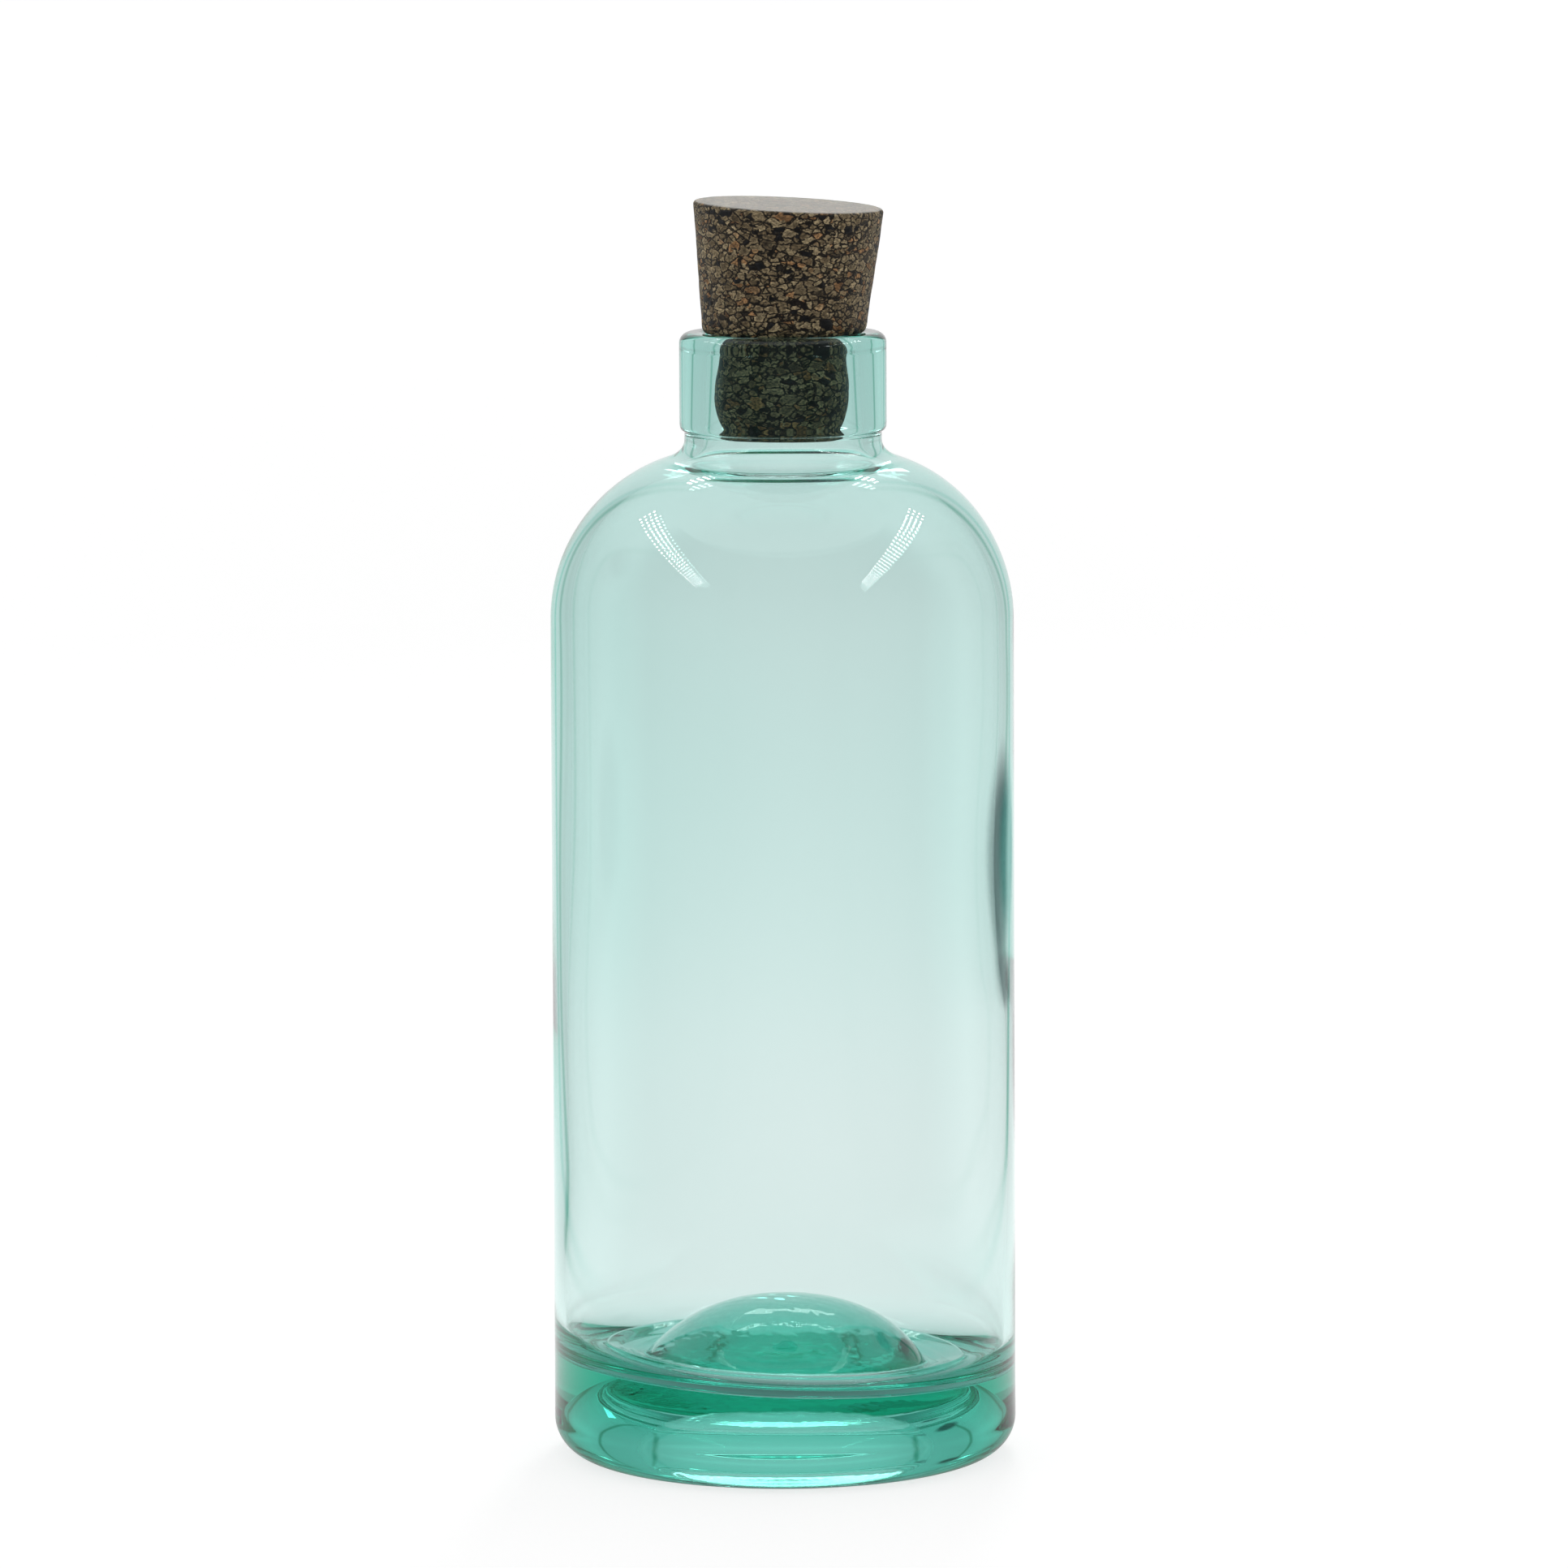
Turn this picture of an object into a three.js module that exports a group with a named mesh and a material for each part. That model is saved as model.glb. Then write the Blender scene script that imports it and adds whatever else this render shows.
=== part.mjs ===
// Corked glass bottle: a heavy-based bottle of green-tinted recycled glass and its granulated cork stopper.
// Millimetres, +Z up. The origin is the centre of the standing ring, level with what the bottle stands on.
import * as THREE from 'three';

// Glass: body and shoulder
const BODY_RADIUS = 47.5;
const BODY_DRAFT = 0.23;
const HEEL_ROUND = 8.0;
const SHOULDER_START = 173.4;
const SHOULDER_REACH = 34.0;
const SHOULDER_RISE = 34.8;
const SHOULDER_SWEEP = 71;

// Glass: neck groove, collar and fire-polished lip
const ROOT_CORNER_LIFT = 1.2;
const GROOVE_RADIUS = 20.2;
const GROOVE_BOTTOM = 210.4;
const GROOVE_TOP = 212.1;
const COLLAR_RADIUS = 21.2;
const COLLAR_BOTTOM = 213.9;
const LIP_HEIGHT = 232.3;
const LIP_ROUND = 2.2;
const CROWN_RADIUS = 17.5;
const THROAT_RADIUS = 15.2;
const THROAT_DROP = 2.4;
const BORE_TOP_RADIUS = 15.6;
const BORE_TOP = 227.6;
const BORE_RADIUS = 16.2;
const BORE_BOTTOM = 211.5;
const BORE_CORNER_LIFT = 2.0;

// Glass: the wall, thick under the shoulder and thin over the base
const WALL = 3.6;
const WALL_THICK_HEIGHT = 150.0;
const LOW_WALL = 2.3;
const WALL_THIN_HEIGHT = 48.0;
const SHOULDER_WALL = 3.6;
const INNER_SHOULDER_SWEEP = 70;

// Glass: inner floor, from the rounding at the wall over a low ridge to the raised dome
const FLOOR_CORNER_HEIGHT = 19.1;
const FLOOR_CORNER_REACH = 6.0;
const FLOOR_CORNER_RISE = 8.0;
const RIDGE_RADIUS = 37.0;
const RIDGE_HEIGHT = 21.4;
const RIDGE_FLANK = 0.4;
const DOME_RADIUS = 29.4;
const DOME_FOOT_HEIGHT = 18.2;
const DOME_CREST = 32.5;
const DOME_POWER = 2.3;
const DOME_BEND = 0.75;

// Glass: the push-up under the base, a steep-sided hollow with a flat top
const PUNT_RADIUS = 31.0;
const PUNT_HEIGHT = 19.5;
const PUNT_POWER = 4.0;
const PUNT_BEND = 0.5;
const PUNT_RIM_SHARE = 0.97;
const PUNT_EDGE_ROUND = 1.6;

// Glass: the neck sits a little off the body's axis
const NECK_SHIFT = 0.35;
const NECK_SHIFT_FADE = [185.0, 212.0];

// Glass: the blown cavity sits a little off the axis and the rim of its floor is out of level
const CAVITY_SHIFT = 0.4;
const CAVITY_SHIFT_START = [26.0, 60.0];
const CAVITY_SHIFT_END = [172.0, 204.0];
const FLOOR_SLOPE = -0.042;
const FLOOR_SLOPE_FADE = [24.0, 70.0];
const FLOOR_LEVEL_RADII = [20.0, 36.0];

// Cork: tapered head that rests on the lip, narrow waist and plug, measured upright in the bottle's frame
const CORK_TOP = 258.3;
const CORK_TOP_RADIUS = 19.4;
const CORK_TOP_EDGE = 0.8;
const HEAD_FOOT = 235.4;
const HEAD_FOOT_RADIUS = 17.0;
const HEAD_CORNER_LIFT = 0.4;
const FLARE_RADIUS = 16.1;
const FLARE_HEIGHT = 232.2;
const FLARE_CORNER_DROP = 0.9;
const WAIST_RADIUS = 12.9;
const WAIST_HEIGHT = 228.9;
const PLUG_RADIUS = 13.7;
const PLUG_SWELL_HEIGHT = 220.5;
const PLUG_BOTTOM = 211.0;
const PLUG_EDGE_REACH = 5.0;
const PLUG_EDGE_RISE = 9.0;

// Cork: it was pushed in askew, so it leans to the right and its top is tilted that way and to the front
const CORK_LEAN = 2.33;
const CORK_LEAN_HEIGHT = 218.0;
const HEAD_TILT = 3.0;
const HEAD_NOD = 1.0;
const HEAD_TIP_FADE = [233.0, 246.0];
const PLUG_TIP_FADE = [212.0, 224.0];

// Fineness of the solids
const GLASS_SEGMENTS = 56;
const CORK_SEGMENTS = 44;
const LONG_CURVE_STEPS = 10;
const CURVE_STEPS = 6;
const CORNER_STEPS = 3;
const SAME_POINT = 1e-4;

// Values that follow from the driving dimensions
const HEEL_BODY_RADIUS = BODY_RADIUS + BODY_DRAFT;
const SHOULDER_CENTRE = BODY_RADIUS - SHOULDER_REACH;
const INNER_RADIUS = BODY_RADIUS - WALL;
const INNER_HEEL_RADIUS = HEEL_BODY_RADIUS - LOW_WALL;
const LEAN_SLOPE = Math.tan(THREE.MathUtils.degToRad(CORK_LEAN));
const TILT_SLOPE = Math.tan(THREE.MathUtils.degToRad(HEAD_TILT));
const NOD_SLOPE = Math.tan(THREE.MathUtils.degToRad(HEAD_NOD));

function at(radius, height) {
  return new THREE.Vector2(radius, height);
}

// Points along an elliptical arc, with its angles in degrees from the outward direction.
function arc(centre, reach, rise, fromDegrees, toDegrees, steps) {
  const start = THREE.MathUtils.degToRad(fromDegrees);
  const end = THREE.MathUtils.degToRad(toDegrees);
  const clockwise = toDegrees < fromDegrees;
  return new THREE.EllipseCurve(centre.x, centre.y, reach, rise, start, end, clockwise).getPoints(steps);
}

// Points along a corner rounded between two points, pulled towards the corner point.
function corner(from, pull, to, steps) {
  return new THREE.QuadraticBezierCurve(from, pull, to).getPoints(steps);
}

// Points along an S-shaped change of radius between two heights.
function swell(from, to, steps) {
  const middle = (from.y + to.y) / 2;
  return new THREE.CubicBezierCurve(from, at(from.x, middle), at(to.x, middle), to).getPoints(steps);
}

// One outline from several stretches, without the points that two stretches share.
function outline(...stretches) {
  const points = [];
  for (const point of stretches.flat()) {
    const last = points.at(-1);
    if (!last || last.distanceTo(point) > SAME_POINT) {
      points.push(point);
    }
  }
  return points;
}

// A solid of revolution about Z from an outline of radius and height that runs from axis to axis.
function revolve(points, segments) {
  const geometry = new THREE.LatheGeometry(points, segments);
  geometry.rotateX(Math.PI / 2);
  return geometry;
}

// Points of a round cushion from the axis to a share of its foot's radius, closer together towards the foot.
// Its height over the foot is the rise times (1 - share to the power) to the bend.
function cushion(footRadius, footHeight, rise, power, bend, endShare) {
  const points = [];
  for (let step = 0; step <= LONG_CURVE_STEPS; step += 1) {
    const share = endShare * Math.sin((Math.PI / 2) * (step / LONG_CURVE_STEPS));
    points.push(at(footRadius * share, footHeight + rise * (1 - share ** power) ** bend));
  }
  return points;
}

// The push-up, standing ring and rounded heel, from the axis outwards
function glassUnderside() {
  const heelCentre = at(HEEL_BODY_RADIUS - HEEL_ROUND, HEEL_ROUND);
  const punt = cushion(PUNT_RADIUS, 0, PUNT_HEIGHT, PUNT_POWER, PUNT_BEND, PUNT_RIM_SHARE);
  return [
    punt,
    corner(punt.at(-1), at(PUNT_RADIUS, 0), at(PUNT_RADIUS + PUNT_EDGE_ROUND, 0), CURVE_STEPS),
    arc(heelCentre, HEEL_ROUND, HEEL_ROUND, -90, 0, CURVE_STEPS),
  ];
}

// The outside of the body, shoulder, neck groove, collar and lip, from the heel up to the crown of the lip
function glassOutside() {
  const shoulderCentre = at(SHOULDER_CENTRE, SHOULDER_START);
  const shoulder = arc(shoulderCentre, SHOULDER_REACH, SHOULDER_RISE, 0, SHOULDER_SWEEP, LONG_CURVE_STEPS);
  const root = shoulder.at(-1);
  const rootCorner = at(GROOVE_RADIUS, root.y + ROOT_CORNER_LIFT);
  const collarCorner = at(COLLAR_RADIUS, GROOVE_TOP);
  const lipCentre = at(COLLAR_RADIUS - LIP_ROUND, LIP_HEIGHT - LIP_ROUND);
  return [
    shoulder,
    corner(root, rootCorner, at(GROOVE_RADIUS, GROOVE_BOTTOM), CURVE_STEPS),
    corner(at(GROOVE_RADIUS, GROOVE_TOP), collarCorner, at(COLLAR_RADIUS, COLLAR_BOTTOM), CORNER_STEPS),
    arc(lipCentre, LIP_ROUND, LIP_ROUND, 0, 90, CORNER_STEPS),
  ];
}

// The cavity from the crown of the lip through throat, bore and shoulder to the thin foot of the wall
function glassInside() {
  const throatCentre = at(CROWN_RADIUS, LIP_HEIGHT - THROAT_DROP);
  const throat = at(THROAT_RADIUS, LIP_HEIGHT - THROAT_DROP);
  const shoulderCentre = at(SHOULDER_CENTRE, SHOULDER_START);
  const reach = SHOULDER_REACH - WALL;
  const rise = SHOULDER_RISE - SHOULDER_WALL;
  const shoulder = arc(shoulderCentre, reach, rise, INNER_SHOULDER_SWEEP, 0, LONG_CURVE_STEPS);
  const boreCorner = at(BORE_RADIUS, shoulder[0].y + BORE_CORNER_LIFT);
  const thick = at(INNER_RADIUS, WALL_THICK_HEIGHT);
  const thin = at(INNER_HEEL_RADIUS, WALL_THIN_HEIGHT);
  return [
    arc(throatCentre, CROWN_RADIUS - THROAT_RADIUS, THROAT_DROP, 90, 180, CURVE_STEPS),
    swell(throat, at(BORE_TOP_RADIUS, BORE_TOP), CORNER_STEPS),
    corner(at(BORE_RADIUS, BORE_BOTTOM), boreCorner, shoulder[0], CURVE_STEPS),
    shoulder,
    swell(thick, thin, CURVE_STEPS),
  ];
}

// The cavity's floor from the wall's foot over the ridge to the crest of the dome
function glassFloor() {
  const cornerCentre = at(INNER_HEEL_RADIUS - FLOOR_CORNER_REACH, FLOOR_CORNER_HEIGHT + FLOOR_CORNER_RISE);
  const foot = arc(cornerCentre, FLOOR_CORNER_REACH, FLOOR_CORNER_RISE, 0, -90, CURVE_STEPS);
  const ridge = at(RIDGE_RADIUS, RIDGE_HEIGHT);
  const ridgeCorner = at(RIDGE_RADIUS + RIDGE_FLANK, FLOOR_CORNER_HEIGHT);
  const domeRise = DOME_CREST - DOME_FOOT_HEIGHT;
  return [
    foot,
    corner(foot.at(-1), ridgeCorner, ridge, CURVE_STEPS),
    cushion(DOME_RADIUS, DOME_FOOT_HEIGHT, domeRise, DOME_POWER, DOME_BEND, 1).reverse(),
  ];
}

// Moves the cavity's points: the wall sideways, and the floor's rim out of level while the dome stays upright.
function skewCavity(geometry, firstInside, outlineLength) {
  const position = geometry.attributes.position;
  for (let index = 0; index < position.count; index += 1) {
    if (index % outlineLength >= firstInside) {
      const x = position.getX(index);
      const z = position.getZ(index);
      const radius = Math.hypot(x, position.getY(index));
      const start = THREE.MathUtils.smoothstep(z, ...CAVITY_SHIFT_START);
      const end = THREE.MathUtils.smoothstep(z, ...CAVITY_SHIFT_END);
      const low = 1 - THREE.MathUtils.smoothstep(z, ...FLOOR_SLOPE_FADE);
      const rim = THREE.MathUtils.smoothstep(radius, ...FLOOR_LEVEL_RADII);
      position.setX(index, x + CAVITY_SHIFT * start * (1 - end));
      position.setZ(index, z + FLOOR_SLOPE * low * rim * x);
    }
  }
}

// Moves the neck sideways, inside and outside alike.
function shiftNeck(geometry) {
  const position = geometry.attributes.position;
  for (let index = 0; index < position.count; index += 1) {
    const neck = THREE.MathUtils.smoothstep(position.getZ(index), ...NECK_SHIFT_FADE);
    position.setX(index, position.getX(index) + NECK_SHIFT * neck);
  }
}

function glassBottle() {
  const outside = outline(...glassUnderside(), ...glassOutside());
  const whole = outline(outside, ...glassInside(), ...glassFloor());
  const geometry = revolve(whole, GLASS_SEGMENTS);
  skewCavity(geometry, outside.length, whole.length);
  shiftNeck(geometry);
  geometry.computeVertexNormals();
  const material = new THREE.MeshStandardMaterial({ color: 0x6fc9b2, roughness: 0.04, metalness: 0 });
  const mesh = new THREE.Mesh(geometry, material);
  mesh.name = 'glass_bottle';
  return mesh;
}

// The cork's outline, upright: plug with rounded end, waist, flare onto the lip, tapered head, flat top
function corkOutline() {
  const plugEdge = at(PLUG_RADIUS - PLUG_EDGE_REACH, PLUG_BOTTOM + PLUG_EDGE_RISE);
  const waist = at(WAIST_RADIUS, WAIST_HEIGHT);
  const flare = at(FLARE_RADIUS, FLARE_HEIGHT);
  const flareCorner = at(WAIST_RADIUS, FLARE_HEIGHT - FLARE_CORNER_DROP);
  const headCorner = at(HEAD_FOOT_RADIUS, FLARE_HEIGHT + HEAD_CORNER_LIFT);
  const topEdge = at(CORK_TOP_RADIUS - CORK_TOP_EDGE, CORK_TOP - CORK_TOP_EDGE);
  return outline(
    at(0, PLUG_BOTTOM),
    arc(plugEdge, PLUG_EDGE_REACH, PLUG_EDGE_RISE, -90, 0, CURVE_STEPS),
    swell(at(PLUG_RADIUS, PLUG_SWELL_HEIGHT), waist, CORNER_STEPS),
    corner(waist, flareCorner, flare, CURVE_STEPS),
    corner(flare, headCorner, at(HEAD_FOOT_RADIUS, HEAD_FOOT), CURVE_STEPS),
    arc(topEdge, CORK_TOP_EDGE, CORK_TOP_EDGE, 0, 90, CORNER_STEPS),
    at(0, CORK_TOP),
  );
}

// Leans the cork: every section moves sideways with its height, the head tilts and the plug's end tips over.
function leanCork(geometry) {
  const position = geometry.attributes.position;
  for (let index = 0; index < position.count; index += 1) {
    const x = position.getX(index);
    const y = position.getY(index);
    const z = position.getZ(index);
    const headTip = THREE.MathUtils.smoothstep(z, ...HEAD_TIP_FADE);
    const plugTip = 1 - THREE.MathUtils.smoothstep(z, ...PLUG_TIP_FADE);
    const headLift = NOD_SLOPE * y - TILT_SLOPE * x;
    position.setX(index, x + LEAN_SLOPE * (z - CORK_LEAN_HEIGHT));
    position.setZ(index, z + headTip * headLift - plugTip * LEAN_SLOPE * x);
  }
}

function corkStopper() {
  const geometry = revolve(corkOutline(), CORK_SEGMENTS);
  leanCork(geometry);
  geometry.computeVertexNormals();
  const material = new THREE.MeshStandardMaterial({ color: 0x7a5a42, roughness: 0.85, metalness: 0 });
  const mesh = new THREE.Mesh(geometry, material);
  mesh.name = 'cork_stopper';
  return mesh;
}

const bottle = new THREE.Group();
bottle.add(glassBottle());
bottle.add(corkStopper());

export default bottle;
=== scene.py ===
"""Looks of the corked bottle: tinted glass, granulated cork and a plain light tent around them."""
import math

import bpy
import numpy as np
from mathutils import Matrix, Quaternion, Vector
from mathutils.kdtree import KDTree

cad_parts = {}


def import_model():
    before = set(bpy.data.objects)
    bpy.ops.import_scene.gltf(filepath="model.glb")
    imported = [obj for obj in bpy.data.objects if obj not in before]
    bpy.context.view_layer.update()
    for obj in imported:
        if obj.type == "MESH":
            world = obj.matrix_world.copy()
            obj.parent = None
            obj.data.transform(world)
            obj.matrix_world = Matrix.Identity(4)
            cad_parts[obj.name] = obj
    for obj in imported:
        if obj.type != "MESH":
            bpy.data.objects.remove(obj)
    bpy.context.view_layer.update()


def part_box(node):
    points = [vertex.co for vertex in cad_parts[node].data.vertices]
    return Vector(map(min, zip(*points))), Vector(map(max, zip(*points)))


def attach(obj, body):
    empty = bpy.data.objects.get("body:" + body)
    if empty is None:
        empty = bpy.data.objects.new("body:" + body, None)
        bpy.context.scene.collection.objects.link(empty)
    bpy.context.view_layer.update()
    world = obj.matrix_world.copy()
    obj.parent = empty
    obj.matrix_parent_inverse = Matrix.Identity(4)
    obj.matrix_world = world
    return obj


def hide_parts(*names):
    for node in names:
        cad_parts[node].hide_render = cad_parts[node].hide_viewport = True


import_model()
GLASS_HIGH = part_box("glass_bottle")[1]
CORK_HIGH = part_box("cork_stopper")[1]

bl_info = {
    "name": "Corked glass bottle",
    "version": (1, 0, 0),
    "blender": (4, 5, 0),
    "location": "3D View > Sidebar > Bottle",
    "description": "Makes a heavy-based bottle of tinted glass, its granulated cork and a light tent",
    "category": "Add Mesh",
}

MM = 0.001
SAME_POINT = 1e-7
WHITE = (1.0, 1.0, 1.0, 1.0)
BUILT_IN = ("rna_type", "name")

# Mix node: places of the share and the two values among its inputs, and of the result among its outputs
MIX_INPUTS = {"FLOAT": (0, 2, 3), "RGBA": (0, 6, 7)}
MIX_RESULT = {"FLOAT": 0, "RGBA": 2}

# Glass: points round, push-up's share before its edge, pulls of corners, heights where the wall thins
GLASS_COLUMNS = 236
PUNT_SHARE = 0.97
ROOT_RISE = 1.2 * MM
BORE_RISE = 2.0 * MM
RIDGE_PULL = 0.4 * MM
TAPER_TOP = 150.0 * MM
TAPER_FOOT = 48.0 * MM

# Glass: heights or radii between which a change of its surface grows or fades
SHIFT_GROWS = (26.0 * MM, 60.0 * MM)
SHIFT_FADES = (172.0 * MM, 204.0 * MM)
SLOPE_FADES = (24.0 * MM, 70.0 * MM)
SLOPE_RADII = (20.0 * MM, 36.0 * MM)
NECK_SHIFT_GROWS = (185.0 * MM, 212.0 * MM)
PATCH_GROWS = (92.0 * MM, 105.0 * MM)
PATCH_FADES = (120.0 * MM, 165.0 * MM)
WAVES_GROW = (34.0 * MM, 50.0 * MM)
WAVES_FADE = (172.0 * MM, 200.0 * MM)
RIPPLE_RADII = (26.0 * MM, 30.0 * MM)
RIPPLE_FADES = (34.0 * MM, 40.0 * MM)

# Ring grooves of the floor as radius, half width and share of the depth
RING_GROOVES = ((31.2 * MM, 0.8 * MM, 1.0), (33.6 * MM, 0.7 * MM, 0.6))

# Plane waves of the base as direction in radians, length and phase
BASE_WAVES = ((0.3, 2.3 * MM, 0.0), (1.2, 3.1 * MM, 1.0), (2.4, 4.3 * MM, 2.0))

# Waves round the axis as turns, phase and change of phase per metre of height
WALL_WAVES = ((3, 1.0, 40.0), (2, 0.5, -110.0), (5, -2.0, 75.0))
CORK_WAVES = ((3, 0.0, 310.0), (7, 1.3, -420.0), (11, 0.4, 760.0))

# Cork: points round the axis, curves, lean and relief
CORK_COLUMNS = 320
FLARE_DROP = 0.9 * MM
FOOT_RISE = 0.4 * MM
HEAD_TILT_GROWS = (233.0 * MM, 246.0 * MM)
PLUG_TIP_FADES = (212.0 * MM, 224.0 * MM)
PIT_SEED = 7
PIT_COUNT = 900
CORK_WAVE_HEIGHT = 0.02 * MM
AXIS_CLEARANCE = 2.0 * MM

# Cork finish: scales of the noises, and the values between which a mask grows
BEND_SCALE = 0.8
SOFT_DETAIL = 2.0
PATCH_SCALE = 0.3
GRAIN_SCALE = 2.0
GRAIN_DETAIL = 4.0
GRAIN_RANGE = (0.3, 0.72)
GRAIN_RELIEF = 0.35
FINE_PATCHES = (0.46, 0.5)
REDDISH_CELLS = (0.82, 0.9)
REDDISH = (1.15, 0.82, 0.62, 1.0)
TOP_FACES = (0.7, 0.9)
TONE_STOPS = (0.0, 0.08, 0.13, 0.5, 0.95)
CELL_VALUES = ("Tone", "Hue", "Edge")

# Stage: where the tent's light changes, its cells of UV, panels, camera and bounces
TENT_COLUMNS = 96
TENT_FADES = (0.02, 0.16)
FRONT_FADES = (-0.08, 0.1)
FLOOR_GREY = (0.35, 0.35, 0.35, 1.0)
FLOOR_LIFT = 0.76
SKY_GREY = (0.6, 0.6, 0.6, 1.0)
CELL_MIDDLE = (0.5, 0.5, 0.0)
CARD_EDGE = 0.5
CHIP_CORE = 0.14
CHIP_EDGE = 0.26
ONE_CELL = (1, 1)
SIDE_CHIPS = (28, 4)
BACK_CHIPS = (11, 3)
TOP_CHIPS = (25, 3)
BACK_PANEL_RIGHT = 0.01
PANEL_DEPTH = 0.06
LAMP_AIM = Vector((0.0, 0.0, 0.19))
SENSOR_WIDTH = 36.0
CLIP_END = 20.0
LIGHT_BOUNCES = 32


def length(name, description, default):
    """A length in metres that a user may change."""
    return bpy.props.FloatProperty(
        name=name, description=description, default=default, unit="LENGTH", precision=5)


def number(name, description, default):
    """A plain number that a user may change."""
    return bpy.props.FloatProperty(name=name, description=description, default=default, precision=4)


def angle(name, description, degrees):
    """An angle that a user may change, given here in degrees."""
    return bpy.props.FloatProperty(
        name=name, description=description, default=math.radians(degrees), subtype="ANGLE")


def colour(name, description, default):
    """A linear colour that a user may change."""
    return bpy.props.FloatVectorProperty(
        name=name, description=description, default=default, subtype="COLOR", size=3, min=0.0, max=1.0)


class GlassSizes(bpy.types.PropertyGroup):
    """Sizes of the glass, the same driving dimensions as the solid's."""
    heel_radius: length("Heel radius", "Radius of the body just above the heel", GLASS_HIGH.x)
    body_radius: length("Body radius", "Radius of the body at the shoulder", 47.5 * MM)
    heel_round: length("Heel round", "Radius of the rounded heel", 8.0 * MM)
    shoulder_start: length("Shoulder start", "Height where the straight wall ends", 173.4 * MM)
    shoulder_reach: length("Shoulder reach", "Radial half axis of the shoulder's ellipse", 34.0 * MM)
    shoulder_rise: length("Shoulder rise", "Upright half axis of the shoulder's ellipse", 34.8 * MM)
    groove_radius: length("Groove radius", "Radius of the groove under the collar", 20.2 * MM)
    groove_bottom: length("Groove bottom", "Height where the groove starts", 210.4 * MM)
    groove_top: length("Groove top", "Height where the groove ends", 212.1 * MM)
    collar_radius: length("Collar radius", "Radius of the straight collar", 21.2 * MM)
    collar_bottom: length("Collar bottom", "Height where the collar is straight", 213.9 * MM)
    lip_height: length("Lip height", "Height of the lip's crown", GLASS_HIGH.z)
    lip_round: length("Lip round", "Outer rounding of the lip", 2.2 * MM)
    crown_radius: length("Crown radius", "Radius where the lip starts to fall inwards", 17.5 * MM)
    throat_radius: length("Throat radius", "Narrowest radius inside the lip", 15.2 * MM)
    throat_drop: length("Throat drop", "Depth of the throat under the crown", 2.4 * MM)
    bore_radius: length("Bore radius", "Radius of the bore at the collar's foot", 16.2 * MM)
    bore_top_radius: length("Bore top radius", "Radius of the bore under the lip", 15.6 * MM)
    bore_top: length("Bore top", "Height where the bore's taper starts under the lip", 227.6 * MM)
    bore_bottom: length("Bore bottom", "Height where the bore opens into the shoulder", 211.5 * MM)
    wall: length("Wall", "Thickness of the body's wall under the shoulder", 3.6 * MM)
    low_wall: length("Low wall", "Thickness of the body's wall near the base", 2.3 * MM)
    shoulder_wall: length("Shoulder wall", "Thickness of the glass under the top of the shoulder", 3.6 * MM)
    corner_height: length("Corner height", "Height of the inner floor's lowest line", 19.1 * MM)
    corner_reach: length("Corner reach", "Inward half axis of the rounding at the floor's edge", 6.0 * MM)
    corner_rise: length("Corner rise", "Upright half axis of the rounding at the floor's edge", 8.0 * MM)
    ridge_radius: length("Ridge radius", "Radius of the ridge round the inner floor", 37.0 * MM)
    ridge_height: length("Ridge height", "Height of the ridge round the inner floor", 21.4 * MM)
    dome_radius: length("Dome radius", "Radius of the foot of the inner dome", 29.4 * MM)
    dome_foot: length("Dome foot", "Height of the foot of the inner dome", 18.2 * MM)
    dome_crest: length("Dome crest", "Height of the top of the inner dome", 32.5 * MM)
    dome_power: number("Dome power", "How flat the top of the inner dome is", 2.3)
    dome_bend: number("Dome bend", "How steep the sides of the inner dome are", 0.75)
    ring_depth: length("Ring depth", "Depth of the ring grooves round the inner dome", 0.3 * MM)
    punt_radius: length("Push-up radius", "Radius of the hollow under the base", 31.0 * MM)
    punt_height: length("Push-up height", "Height of the hollow under the base", 19.5 * MM)
    punt_power: number("Push-up power", "How flat the top of that hollow is", 4.0)
    punt_bend: number("Push-up bend", "How steep the sides of that hollow are", 0.5)
    punt_edge: length("Push-up edge", "Rounding at the edge of that hollow", 1.6 * MM)
    neck_shift: length("Neck shift", "How far the neck sits to the right of the body's axis", 0.35 * MM)
    cavity_shift: length("Cavity shift", "How far the cavity sits to the right of the axis", 0.4 * MM)
    floor_slope: number("Floor slope", "Rise of the inner floor per length towards the right", -0.042)
    patch: length("Thick patch", "Extra thickness of the wall's patch on the right", 0.4 * MM)
    patch_turn: angle("Patch turn", "Half width of that patch", 40.0)
    ripple: length("Ripple", "Height of the ripples on the dome and the push-up", 0.008 * MM)
    waves: length("Waves", "Height of the low waves inside the wall", 0.04 * MM)


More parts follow.
